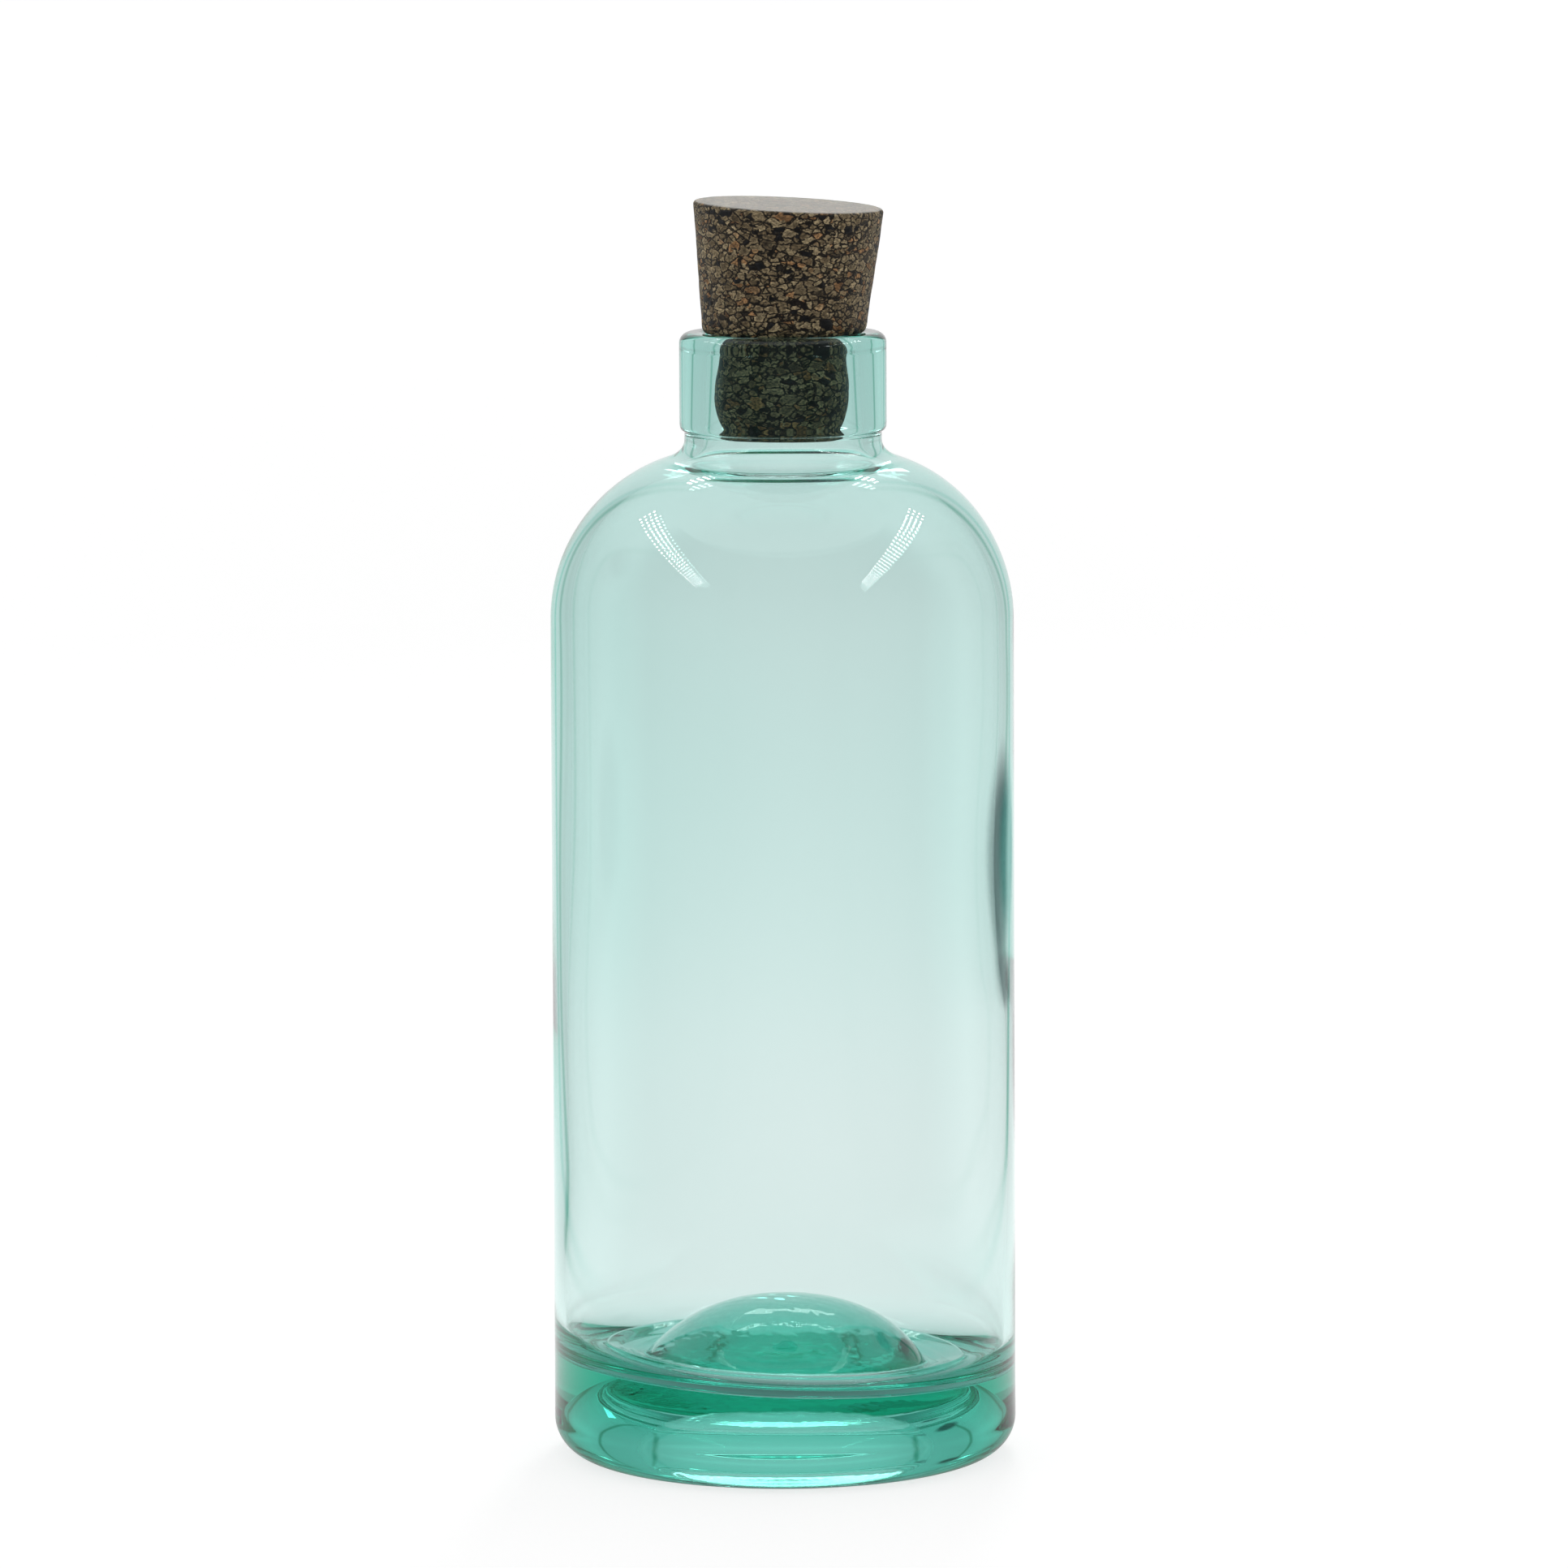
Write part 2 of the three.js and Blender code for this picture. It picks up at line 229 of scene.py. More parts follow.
class CorkSizes(bpy.types.PropertyGroup):
    """Sizes of the cork, the same driving dimensions as the solid's."""
    top: length("Top", "Height of the top's centre", 258.3 * MM)
    top_radius: length("Top radius", "Radius of the head at the top", CORK_HIGH.y)
    top_edge: length("Top edge", "Rounding of the top edge", 0.8 * MM)
    head_foot: length("Head foot", "Height where the head's taper ends", 235.4 * MM)
    head_foot_radius: length("Head foot radius", "Radius of the head just over the lip", 17.0 * MM)
    flare_radius: length("Flare radius", "Radius of the head where it rests on the lip", 16.1 * MM)
    flare_height: length("Flare height", "Height of the head where it rests on the lip", 232.2 * MM)
    waist_radius: length("Waist radius", "Radius of the waist under the head", 12.9 * MM)
    waist_height: length("Waist height", "Height of the waist under the head", 228.9 * MM)
    plug_radius: length("Plug radius", "Radius of the plug inside the bore", 13.7 * MM)
    plug_swell: length("Plug swell", "Height where the plug is full under the waist", 220.5 * MM)
    plug_bottom: length("Plug bottom", "Height of the plug's end", 211.0 * MM)
    plug_edge: length("Plug edge", "Inward half axis of the plug's rounded end", 5.0 * MM)
    plug_edge_rise: length("Plug edge rise", "Upright half axis of the plug's rounded end", 9.0 * MM)
    lean: angle("Lean", "How far the cork was pushed in askew", 2.33)
    tilt: angle("Tilt", "How far the head's top falls to the right", 3.0)
    nod: angle("Nod", "How far the head's top falls to the front", 1.0)
    pit_depth: length("Pit depth", "Depth of the small pits between granules", 0.16 * MM)
    pit_width: length("Pit width", "Half width of a pit", 0.55 * MM)
    lean_height: length("Lean height", "Height where the cork crosses the bottle's axis", 218.0 * MM)


class Finishes(bpy.types.PropertyGroup):
    """Colours and optical values of the materials."""
    glass_tint: colour("Glass tint", "Colour that the glass lets through", (0.55, 0.905, 0.857))
    glass_density: number("Glass density", "Absorption per metre of what the tint takes away", 112.0)
    glass_ior: number("Glass index", "Refractive index of the glass", 1.52)
    coarse_granule: length("Coarse granule", "Width of the cork's large granules", 2.9 * MM)
    fine_granule: length("Fine granule", "Width of the cork's small granules", 1.7 * MM)
    granule_flatness: number("Granule flatness", "How much lower than wide the granules are", 1.5)
    granule_bend: number("Granule bend", "How far the granules' outlines are bent, in millimetres", 1.1)
    granule_bump: length("Granule bump", "Height of the granules over the binder", 0.16 * MM)
    binder_fray: number("Binder fray", "How ragged the binder's lines are, in millimetres", 0.3)
    binder_start: number("Binder start", "Half width of the darkest binder, in millimetres", 0.2)
    binder_end: number("Binder end", "Half width where the binder ends, in millimetres", 0.5)
    cork_specular: number("Cork specular", "Strength of the cork's gloss", 0.35)
    side_roughness: number("Side roughness", "Roughness of the cork's side", 0.6)
    top_roughness: number("Top roughness", "Roughness of the cork's top", 0.3)
    cork_tan: colour("Cork tan", "Palest granules", (0.25, 0.193, 0.11))
    cork_brown: colour("Cork brown", "Middling granules", (0.158, 0.119, 0.065))
    cork_dark: colour("Cork dark", "Dark granules", (0.095, 0.068, 0.035))
    cork_black: colour("Cork black", "Bark granules", (0.008, 0.008, 0.009))
    cork_binder: colour("Cork binder", "Lines between granules", (0.012, 0.009, 0.006))
    # Painted light: the next two values paint the cork's upward faces paler, standing in for the light that
    # the top catches from above
    painted_top_colour: colour("Cork cut", "Pale dust on the cut top", (0.5, 0.48, 0.41))
    painted_top_share: number("Cut share", "How much of that dust covers the cut top", 0.42)
    rim_width: number("Rim width", "How far a granule's pale rim reaches in, in millimetres", 0.4)
    rim_light: number("Rim light", "Light of a granule's rim as a share", 1.5)
    core_light: number("Core light", "Light of a granule's core as a share", 0.85)
    grain_low: number("Grain low", "Light of the dark grain inside a granule as a share", 0.4)
    grain_high: number("Grain high", "Light of the pale grain inside a granule as a share", 1.7)


class StageSettings(bpy.types.PropertyGroup):
    """Camera, tent, dark card and lamp panels."""
    camera_distance: length("Camera distance", "Level distance from the bottle's axis", 1.8798)
    camera_height: length("Camera height", "Height over the floor", 0.37565)
    aim_height: length("Aim height", "Height on the axis at the middle of the picture", 0.13916)
    aim_right: length("Aim right", "How far right of the axis the picture's middle is", 0.000245)
    roll: angle("Roll", "Turn of the camera about its line of sight", -0.23)
    lens: number("Lens", "Focal length in millimetres on a 36 mm sensor", 211.65)
    tent_radius: length("Tent radius", "Radius of the tent's wall", 0.5)
    tent_height: length("Tent height", "Height of the tent's wall", 0.85)
    tent_round: length("Tent round", "Rounding between floor and wall", 0.12)
    tent_low: number("Low light", "Light of the tent near the floor", 1.0)
    tent_high: number("High light", "Light of the tent over the bottle", 0.84)
    tent_front: number("Front light", "Light of the tent's front as a share", 0.12)
    tent_even: number("Even light", "Light that the tent gives to matte surfaces", 0.6)
    tent_side: number("Side light", "Light of the tent's sides as a share", 0.78)
    tent_side_low: number("Low side light", "Light of the tent's sides near the floor as a share", 0.68)
    back_half: length("Back half width", "How far right and left the tent's back is fully lit", 0.08)
    side_start: length("Side start", "How far right and left the tent's sides are darkest", 0.3)
    seam_place: length("Seam place", "How far right and left the tent's dark seams are", 0.25)
    seam_width: length("Seam width", "Half width of the tent's dark seams", 0.028)
    seam_shade: colour("Seam shade", "Light of the tent's dark seams as a share", (0.26, 0.58, 0.48))
    side_low: length("Side low", "Height where the tent's sides start to brighten", 0.03)
    side_high: length("Side high", "Height where the tent's sides are brightest", 0.09)
    card_turn: angle("Card turn", "Direction of the dark card from straight behind to the right", 48.0)
    card_distance: length("Card distance", "How far from the axis the dark card stands", 0.15)
    card_width: length("Card width", "Width of the dark card", 0.09)
    card_low: length("Card low", "Height of the dark card's lower edge", 0.087)
    card_high: length("Card high", "Height of the dark card's upper edge", 0.133)
    card_soft: number("Card softness", "Where the card's soft edge starts, as a share of its size", 0.2)
    card_shade: colour("Card shade", "Light of the dark card", (0.03, 0.1, 0.1))
    chip_light: number("Chip light", "Light of a side panel's chips", 25.0)
    board_light: number("Board light", "Light of a side panel between its chips", 0.4)
    side_place: length("Side panel place", "How far right and left of the axis a side panel hangs", 0.268)
    side_middle: length("Side panel middle", "How far behind the axis a side panel's middle is", -0.112)
    side_height: length("Side panel height", "Height of the side panels over the floor", 0.411)
    side_length: length("Side panel length", "Length of the side panels", 0.46)
    side_turn: angle("Side panel turn", "How far the side panels' front ends turn outwards", 13.0)
    side_width: length("Side panel width", "Width of the side panels", 0.044)
    side_power: number("Side power", "Power of each side panel's soft light in watts", 0.22)
    back_place: length("Back panel place", "How far behind the axis the back panel hangs", 0.46)
    back_height: length("Back panel height", "Height of the back panel over the floor", 0.38)
    back_width: length("Back panel width", "Width of the back panel", 0.22)
    back_light: number("Back light", "Light of the back panel's chips", 6.0)
    back_board: number("Back board", "Light of the back panel between its chips as a share", 0.5)
    top_light: number("Top light", "Light of the top panel's chips", 75.0)
    top_board: number("Top board", "Light of the top panel between its chips as a share", 0.012)
    top_place: length("Top panel place", "How far behind the axis the top panel hangs", 0.43)
    top_height: length("Top panel height", "Height of the top panel over the floor", 0.72)
    top_width: length("Top panel width", "Width of the top panel", 0.5)
    panel_power: number("Panel power", "Power of each other panel's soft light in watts", 2.0)


# Outlines: each is an array of points (radius, height)

def ellipse_arc(centre, reach, rise, start, end, steps):
    """Centre plus reach times the cosine outwards and rise times the sine upwards, between two angles in
    degrees."""
    turn = np.radians(np.linspace(start, end, steps + 1))
    return np.column_stack((centre[0] + reach * np.cos(turn), centre[1] + rise * np.sin(turn)))


def rounded_corner(start, pull, end, steps):
    """A quadratic Bezier curve from start to end, drawn towards the corner point."""
    t = np.linspace(0.0, 1.0, steps + 1)[:, None]
    return (1 - t) ** 2 * np.array(start) + 2 * t * (1 - t) * np.array(pull) + t ** 2 * np.array(end)


def swelling(start, end, steps):
    """An S curve: a cubic Bezier that leaves and arrives upright, halfway in height between its ends."""
    t = np.linspace(0.0, 1.0, steps + 1)[:, None]
    middle = (start[1] + end[1]) / 2
    first = np.array((start[0], middle))
    second = np.array((end[0], middle))
    ends = (1 - t) ** 3 * np.array(start) + t ** 3 * np.array(end)
    return ends + 3 * t * (1 - t) ** 2 * first + 3 * t ** 2 * (1 - t) * second


def straight(start, end, steps):
    """Evenly spaced points on a straight line."""
    t = np.linspace(0.0, 1.0, steps + 1)[:, None]
    return (1 - t) * np.array(start) + t * np.array(end)


def joined(*stretches):
    """The stretches one after the other, without points that repeat the one before."""
    points = np.concatenate([np.atleast_2d(s) for s in stretches])
    step = np.linalg.norm(np.diff(points, axis=0), axis=1)
    return points[np.concatenate(([True], step > SAME_POINT))]


# Surfaces

def smoothstep(value, low, high):
    """0 below low, 1 above high, and 3t2 - 2t3 between."""
    t = np.clip((value - low) / (high - low), 0.0, 1.0)
    return t * t * (3 - 2 * t)


def between(value, grows, fades):
    """A smooth step up over the first range times a smooth step down over the second."""
    return smoothstep(value, *grows) * (1 - smoothstep(value, *fades))


def turning_waves(terms, turn, z):
    """Sum of cosines, each of so many turns round plus a phase plus a change of phase with height."""
    return sum(np.cos(turns * turn + phase + pitch * z) for turns, phase, pitch in terms)


def revolved(points, columns):
    """Carries the outline round Z: x is radius times cosine, y is radius times sine, a row per point."""
    turn = np.linspace(0.0, 2 * np.pi, columns, endpoint=False)
    x = points[:, :1] * np.cos(turn)
    y = points[:, :1] * np.sin(turn)
    z = np.repeat(points[:, 1:], columns, axis=1)
    return x, y, z


def new_piece(name, verts, faces, material):
    """An object in the scene, with a mesh of the given points and faces."""
    mesh = bpy.data.meshes.new(name)
    mesh.from_pydata(verts, [], faces)
    mesh.materials.append(material)
    piece = bpy.data.objects.new(name, mesh)
    bpy.context.scene.collection.objects.link(piece)
    return piece


def closed_surface(name, x, y, z, material):
    """A mesh from a grid whose columns go round and whose first and last rows are poles on the axis."""
    rows, columns = x.shape
    grid = np.stack((x, y, z), axis=-1)
    ring = grid[1:-1].reshape(-1, 3)
    verts = np.concatenate((grid[:1].mean(axis=1), ring, grid[-1:].mean(axis=1)))
    index = np.arange(1, 1 + (rows - 2) * columns).reshape(rows - 2, columns)
    right = np.roll(index, -1, axis=1)
    quads = np.stack((index[:-1], right[:-1], right[1:], index[1:]), axis=-1).reshape(-1, 4)
    first = np.stack((np.zeros(columns, int), right[0], index[0]), axis=-1)
    last = np.stack((index[-1], right[-1], np.full(columns, len(verts) - 1)), axis=-1)
    piece = new_piece(name, verts, quads.tolist() + first.tolist() + last.tolist(), material)
    piece.data.shade_smooth()
    return piece


# Node helpers: a value for an input is a socket to link or a plain value to set

def set_inputs(tree, made, inputs):
    """Links or sets the inputs of a node, which are named or numbered."""
    for place, value in inputs.items():
        if isinstance(value, bpy.types.NodeSocket):
            tree.links.new(value, made.inputs[place])
        else:
            made.inputs[place].default_value = value


def node(tree, kind, inputs, **settings):
    """A new node with its settings and inputs."""
    made = tree.nodes.new(kind)
    for name, value in settings.items():
        setattr(made, name, value)
    set_inputs(tree, made, inputs)
    return made


def ramped(tree, source, low, high, at_low, at_high):
    """A smooth step of a value: at_low below low, at_high above high."""
    inputs = {"Value": source, "From Min": low, "From Max": high, "To Min": at_low, "To Max": at_high}
    return node(tree, "ShaderNodeMapRange", inputs, interpolation_type="SMOOTHSTEP").outputs["Result"]


def math_node(tree, operation, *values):
    """A Math node's result."""
    return node(tree, "ShaderNodeMath", dict(enumerate(values)), operation=operation).outputs["Value"]


def vector_node(tree, operation, *values):
    """A Vector Math node."""
    return node(tree, "ShaderNodeVectorMath", dict(enumerate(values)), operation=operation)


def mixed(tree, kind, share, first, second, blend="MIX"):
    """A Mix node's result, of colours or values."""
    inputs = dict(zip(MIX_INPUTS[kind], (share, first, second)))
    made = node(tree, "ShaderNodeMix", inputs, data_type=kind, blend_type=blend)
    return made.outputs[MIX_RESULT[kind]]


def shader_mixed(tree, share, first, second):
    """A Mix Shader node's result."""
    return node(tree, "ShaderNodeMixShader", {"Fac": share, 1: first, 2: second}).outputs["Shader"]


def emission(tree, shade, strength):
    """An Emission node's result."""
    return node(tree, "ShaderNodeEmission", {"Color": shade, "Strength": strength}).outputs["Emission"]


def noise(tree, vector, scale, detail):
    """A Noise Texture node."""
    return node(tree, "ShaderNodeTexNoise", {"Vector": vector, "Scale": scale, "Detail": detail})


def new_material(name):
    """A material with a Principled BSDF, its tree and that shader."""
    material = bpy.data.materials.new(name)
    material.use_nodes = True
    return material, material.node_tree, material.node_tree.nodes["Principled BSDF"]


# Glass

def glass_outside(s):
    """Push-up, standing ring, heel, body, shoulder, groove, collar and lip, from the axis to the crown.
    The push-up is its height times (one minus the share of its radius to its power) to its bend."""
    share = np.linspace(0.0, PUNT_SHARE, num=60)
    rise = s.punt_height * (1 - share ** s.punt_power) ** s.punt_bend
    punt = np.column_stack((s.punt_radius * share, rise))
    ring_in = (s.punt_radius + s.punt_edge, 0.0)
    heel_centre = (s.heel_radius - s.heel_round, s.heel_round)
    shoulder_centre = (s.body_radius - s.shoulder_reach, s.shoulder_start)
    shoulder = ellipse_arc(shoulder_centre, s.shoulder_reach, s.shoulder_rise, start=0, end=71, steps=40)
    root_pull = (s.groove_radius, shoulder[-1, 1] + ROOT_RISE)
    lip_centre = (s.collar_radius - s.lip_round, s.lip_height - s.lip_round)
    groove_low = (s.groove_radius, s.groove_bottom)
    groove_high = (s.groove_radius, s.groove_top)
    collar_low = (s.collar_radius, s.collar_bottom)
    return joined(
        punt,
        rounded_corner(punt[-1], (s.punt_radius, 0.0), ring_in, steps=8),
        straight(ring_in, (heel_centre[0], 0.0), steps=2),
        ellipse_arc(heel_centre, s.heel_round, s.heel_round, start=-90, end=0, steps=18),
        straight((s.heel_radius, s.heel_round), shoulder[0], steps=8),
        shoulder,
        rounded_corner(shoulder[-1], root_pull, groove_low, steps=8),
        straight(groove_low, groove_high, steps=2),
        rounded_corner(groove_high, (s.collar_radius, s.groove_top), collar_low, steps=10),
        straight(collar_low, (s.collar_radius, lip_centre[1]), steps=3),
        ellipse_arc(lip_centre, s.lip_round, s.lip_round, start=0, end=90, steps=12),
    )


def floor_inside_ridge(s):
    """Height over the radius: a straight fall from the ridge to the dome's foot, plus the dome's rise times
    (one minus the share of the foot's radius to the dome's power) to its bend, less two bell-shaped ring
    grooves."""
    radius = np.linspace(s.ridge_radius, 0.0, num=91)
    share = np.minimum(radius / s.dome_radius, 1.0)
    dome = (s.dome_crest - s.dome_foot) * (1 - share ** s.dome_power) ** s.dome_bend
    fall = np.interp(radius, (s.dome_radius, s.ridge_radius), (s.dome_foot, s.ridge_height))
    rings = sum(part * np.exp(-((radius - middle) / half) ** 2) for middle, half, part in RING_GROOVES)
    return np.column_stack((radius, fall + dome - s.ring_depth * rings))


def glass_inside(s):
    """Throat, bore, shoulder, wall, floor corner, ridge, rings and dome, from the crown to the axis."""
    throat = (s.throat_radius, s.lip_height - s.throat_drop)
    throat_centre = (s.crown_radius, throat[1])
    throat_reach = s.crown_radius - s.throat_radius
    shoulder_centre = (s.body_radius - s.shoulder_reach, s.shoulder_start)
    reach = s.shoulder_reach - s.wall
    rise = s.shoulder_rise - s.shoulder_wall
    shoulder = ellipse_arc(shoulder_centre, reach, rise, start=70, end=0, steps=40)
    bore_high = (s.bore_top_radius, s.bore_top)
    bore_low = (s.bore_radius, s.bore_bottom)
    bore_pull = (s.bore_radius, shoulder[0, 1] + BORE_RISE)
    low = s.heel_radius - s.low_wall
    corner_centre = (low - s.corner_reach, s.corner_height + s.corner_rise)
    corner = ellipse_arc(corner_centre, s.corner_reach, s.corner_rise, start=0, end=-90, steps=24)
    thick = (shoulder[-1, 0], TAPER_TOP)
    thin = (low, TAPER_FOOT)
    ridge_pull = (s.ridge_radius + RIDGE_PULL, s.corner_height)
    return joined(
        ellipse_arc(throat_centre, throat_reach, s.throat_drop, start=90, end=180, steps=16),
        swelling(throat, bore_high, steps=10),
        straight(bore_high, bore_low, steps=8),
        rounded_corner(bore_low, bore_pull, shoulder[0], steps=14),
        shoulder,
        straight(shoulder[-1], thick, steps=6),
        swelling(thick, thin, steps=30),
        straight(thin, corner[0], steps=5),
        corner,
        rounded_corner(corner[-1], ridge_pull, (s.ridge_radius, s.ridge_height), steps=8),
        floor_inside_ridge(s),
    )


def skew_cavity(s, x, y, z, inside):
    """Moves the cavity's rows: sideways in the body, fading in the shoulder, and the floor out of level."""
    shift = s.cavity_shift * between(z, SHIFT_GROWS, SHIFT_FADES)
    low = 1 - smoothstep(z, *SLOPE_FADES)
    slope = s.floor_slope * low * smoothstep(np.hypot(x, y), *SLOPE_RADII)
    return x + inside * shift, y, z + inside * slope * x


def shift_neck(s, x, z):
    """Moves the neck's rows sideways, inside and outside alike, growing smoothly over the shoulder."""
    return x + s.neck_shift * smoothstep(z, *NECK_SHIFT_GROWS)


def blown_unevenness(s, x, y, z, inside):
    """Moves the cavity's wall inwards: a thick patch on the right, a bell across that ends soon below and
    fades slowly above, and low waves of cosines round and along the body."""
    turn = np.arctan2(y, x)
    patch = np.exp(-(turn / s.patch_turn) ** 2) * between(z, PATCH_GROWS, PATCH_FADES)
    waves = turning_waves(WALL_WAVES, turn, z) * between(z, WAVES_GROW, WAVES_FADE)
    inward = inside * (s.patch * patch + s.waves * waves)
    return x - inward * np.cos(turn), y - inward * np.sin(turn), z


def base_ripple(s, x, y, z):
    """Height with plane waves of cosines added to the dome and the push-up, each with its own direction and
    length."""
    middle = 1 - smoothstep(np.hypot(x, y), *RIPPLE_RADII)
    base = 1 - smoothstep(z, *RIPPLE_FADES)
    waves = np.zeros_like(z)
    for turn, reach, phase in BASE_WAVES:
        waves += np.cos(2 * np.pi * (x * math.cos(turn) + y * math.sin(turn)) / reach + phase)
    return z + s.ripple * waves * middle * base


def glass_material(f):
    """Clear, smooth glass that takes away red light through its thickness."""
    material, tree, shader = new_material("tinted_glass")
    plain = {"Base Color": WHITE, "Roughness": 0.0, "IOR": f.glass_ior, "Transmission Weight": 1.0}
    set_inputs(tree, shader, plain)
    absorbed = {"Color": (*f.glass_tint, 1.0), "Density": f.glass_density}
    absorption = node(tree, "ShaderNodeVolumeAbsorption", absorbed)
    tree.links.new(absorption.outputs["Volume"], tree.nodes["Material Output"].inputs["Volume"])
    return material


class BOTTLE_OT_glass(bpy.types.Operator):
    """Make the glass of the bottle"""
    bl_idname = "bottle.glass"
    bl_label = "Glass"

    def execute(self, context):
        s = context.scene.bottle_glass
        outside = glass_outside(s)
        points = joined(outside, glass_inside(s))
        x, y, z = revolved(points, GLASS_COLUMNS)
        inside = (np.arange(len(points)) >= len(outside)).astype(float)[:, None]
        x, y, z = blown_unevenness(s, x, y, z, inside)
        x, y, z = skew_cavity(s, x, y, z, inside)
        z = base_ripple(s, x, y, z)
        x = shift_neck(s, x, z)
        piece = closed_surface("glass", x, y, z, glass_material(context.scene.bottle_finish))
        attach(piece, "bottle")
        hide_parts("glass_bottle")
        return {"FINISHED"}


# Cork

def cork_outline(c):
    """Plug with rounded end, narrow waist, flare on the lip, tapered head and flat top, axis to axis."""
    plug_centre = (c.plug_radius - c.plug_edge, c.plug_bottom + c.plug_edge_rise)
    plug_full = (c.plug_radius, c.plug_swell)
    waist = (c.waist_radius, c.waist_height)
    flare = (c.flare_radius, c.flare_height)
    flare_pull = (c.waist_radius, c.flare_height - FLARE_DROP)
    foot = (c.head_foot_radius, c.head_foot)
    foot_pull = (c.head_foot_radius, c.flare_height + FOOT_RISE)
    top_centre = (c.top_radius - c.top_edge, c.top - c.top_edge)
    top = ellipse_arc(top_centre, c.top_edge, c.top_edge, start=0, end=90, steps=8)
    plug_end = ellipse_arc(plug_centre, c.plug_edge, c.plug_edge_rise, start=-90, end=0, steps=18)
    return joined(
        straight((0.0, c.plug_bottom), plug_end[0], steps=24),
        plug_end,
        straight(plug_end[-1], plug_full, steps=20),
        swelling(plug_full, waist, steps=18),
        rounded_corner(waist, flare_pull, flare, steps=16),
        rounded_corner(flare, foot_pull, foot, steps=12),
        straight(foot, top[0], steps=70),
        top,
        straight(top[-1], (0.0, c.top), steps=44),
    )


def lean_cork(c, x, y, z):
    """Moves each section sideways with its height, tilts the head and tips the plug's end over."""
    slope = math.tan(c.lean)
    head = smoothstep(z, *HEAD_TILT_GROWS)
    plug = 1 - smoothstep(z, *PLUG_TIP_FADES)
    lift = head * (math.tan(c.nod) * y - math.tan(c.tilt) * x) - plug * slope * x
    return x + slope * (z - c.lean_height), z + lift


def cork_relief(c, x, y, z):
    """Moves the surface inwards by bell-shaped pits round scattered points, and by low waves of cosines."""
    grid = np.stack((x, y, z), axis=-1).reshape(-1, 3)
    scatter = np.random.default_rng(PIT_SEED)
    marked = grid[scatter.choice(len(grid), PIT_COUNT, replace=False)]
    tree = KDTree(PIT_COUNT)
    for place, point in enumerate(marked):
        tree.insert(point, place)
    tree.balance()
    away = np.array([tree.find(point)[2] for point in grid]).reshape(x.shape)
    pits = c.pit_depth * np.exp(-(away / c.pit_width) ** 2)
    inward = pits + CORK_WAVE_HEIGHT * turning_waves(CORK_WAVES, np.arctan2(y, x), z)
    keep = 1 - inward / np.maximum(np.hypot(x, y), AXIS_CLEARANCE)
    return x * keep, y * keep


def granule_cells():
    """Node group: cells of a Voronoi pattern, two random values per cell and the way to the cell's edge."""
    group = bpy.data.node_groups.new("granule_cells", "ShaderNodeTree")
    group.interface.new_socket("Vector", in_out="INPUT", socket_type="NodeSocketVector")
    group.interface.new_socket("Scale", in_out="INPUT", socket_type="NodeSocketFloat")
    for name in CELL_VALUES:
        group.interface.new_socket(name, in_out="OUTPUT", socket_type="NodeSocketFloat")
    source = group.nodes.new("NodeGroupInput")
    scale = source.outputs["Scale"]
    pattern = {"Vector": source.outputs["Vector"], "Scale": scale}
    cells = node(group, "ShaderNodeTexVoronoi", pattern)
    edges = node(group, "ShaderNodeTexVoronoi", pattern, feature="DISTANCE_TO_EDGE")
    split = node(group, "ShaderNodeSeparateColor", {"Color": cells.outputs["Color"]})
    way = math_node(group, "DIVIDE", edges.outputs["Distance"], scale)
    values = (split.outputs["Red"], split.outputs["Green"], way)
    node(group, "NodeGroupOutput", dict(zip(CELL_VALUES, values)))
    return group


